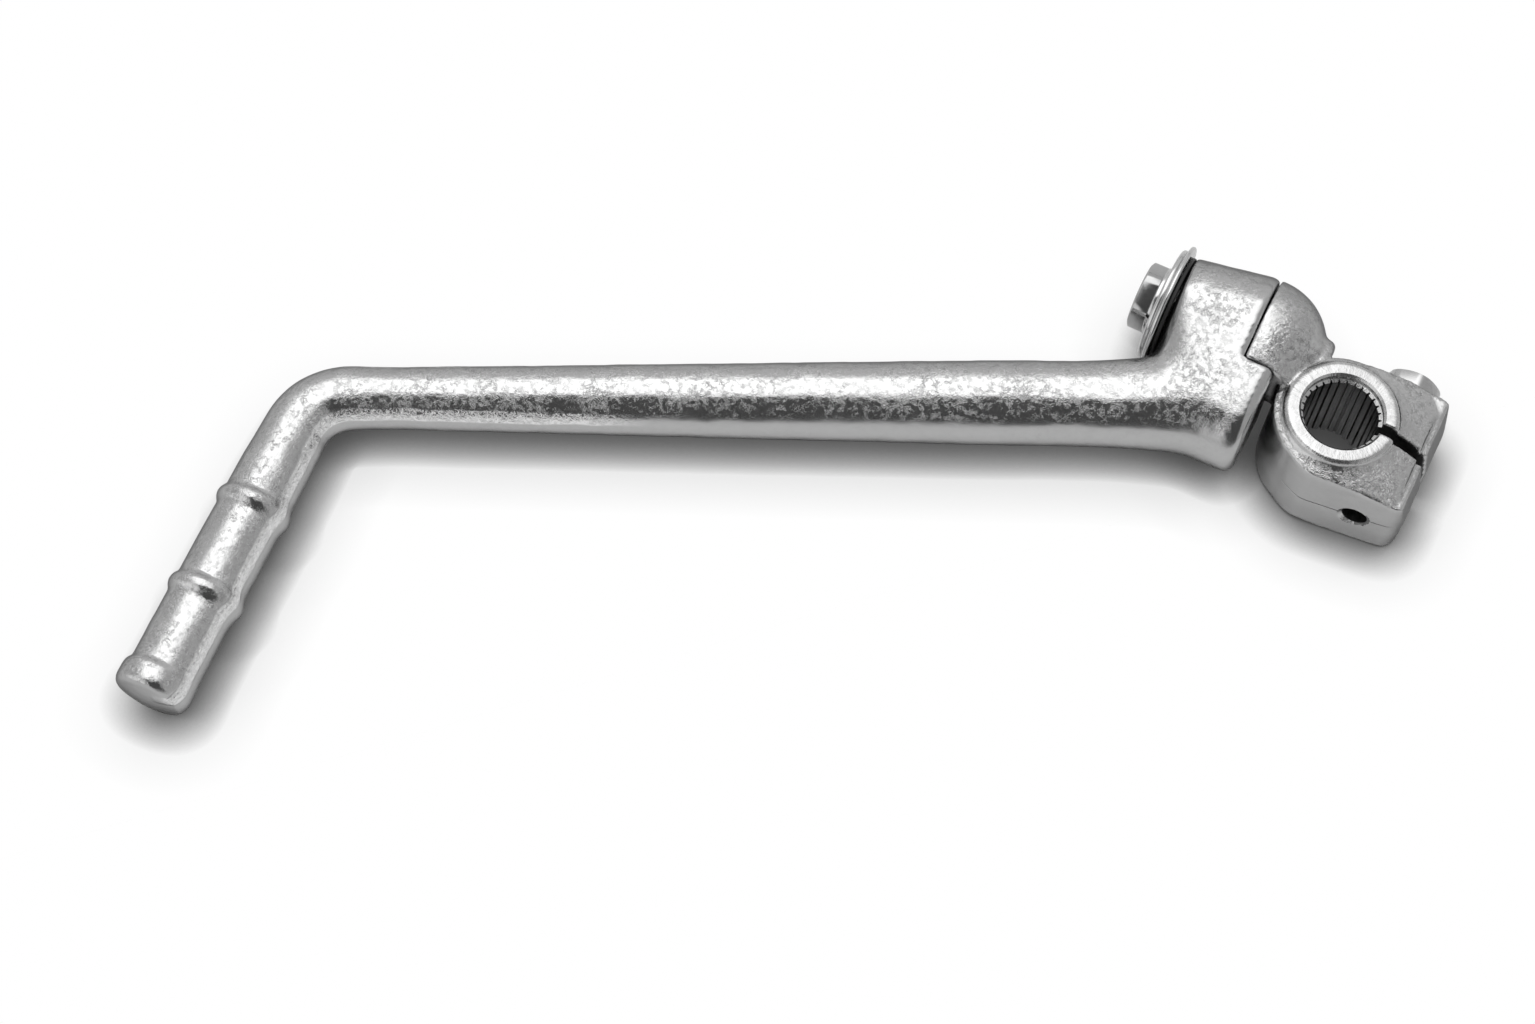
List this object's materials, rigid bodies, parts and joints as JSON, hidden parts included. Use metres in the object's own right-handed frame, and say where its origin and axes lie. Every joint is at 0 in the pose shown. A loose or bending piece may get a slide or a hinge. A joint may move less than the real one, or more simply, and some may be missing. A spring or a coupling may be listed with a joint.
{
  "type": "kick start lever",
  "caption": "Folding kick start lever: serrated clamp knuckle, hinged forged arm and ribbed pedal, shown folded.",
  "frame": {"origin": "axis of the shaft bore, in the plane of the hub's underside that the part lies on", "axes": "+Z along the bore towards the raised ring face; +X along the fold hinge and the clamp slit, from the pivot bolt to the clamp ears; +Y square to both, towards the pinch bolt's head"},
  "size_m": [0.215, 0.1813, 0.0277],
  "materials": {
    "forged_lever": "zinc plated forging",
    "forged_knuckle": "zinc plated forging, machined bore and ring",
    "pivot_bolt": "zinc plated",
    "spring_washer": "zinc plated",
    "retaining_washer": "zinc plated",
    "cover_washer": "zinc plated",
    "dust_seal": "smooth black",
    "detent_ball": "polished",
    "detent_spring": "drawn wire",
    "pinch_bolt": "zinc plated"
  },
  "bodies": {
    "knuckle": {"knuckle": "forged_knuckle", "pivot_bolt": "pivot_bolt", "spring_washer": "spring_washer", "retaining_washer": "retaining_washer", "cover_washer": "cover_washer", "pinch_bolt": "pinch_bolt", "detent_spring": "detent_spring"},
    "lever": {"lever": "forged_lever", "dust_seal": "dust_seal"},
    "detent_ball": {"detent_ball": "detent_ball"}
  },
  "joints": [
    {"name": "fold", "type": "hinge", "parent": "knuckle", "child": "lever", "pos_m": [-0.031, 0.0114, 0.014], "axis": [1, 0, 0], "range_deg": [0, 90]},
    {"name": "detent", "type": "slide", "parent": "knuckle", "child": "detent_ball", "axis": [-1, 0, 0], "range_m": [0, 0.0004], "stiffness_N_per_m": 1500, "springref_m": 0.0004, "deforming": ["detent_spring"]}
  ]
}
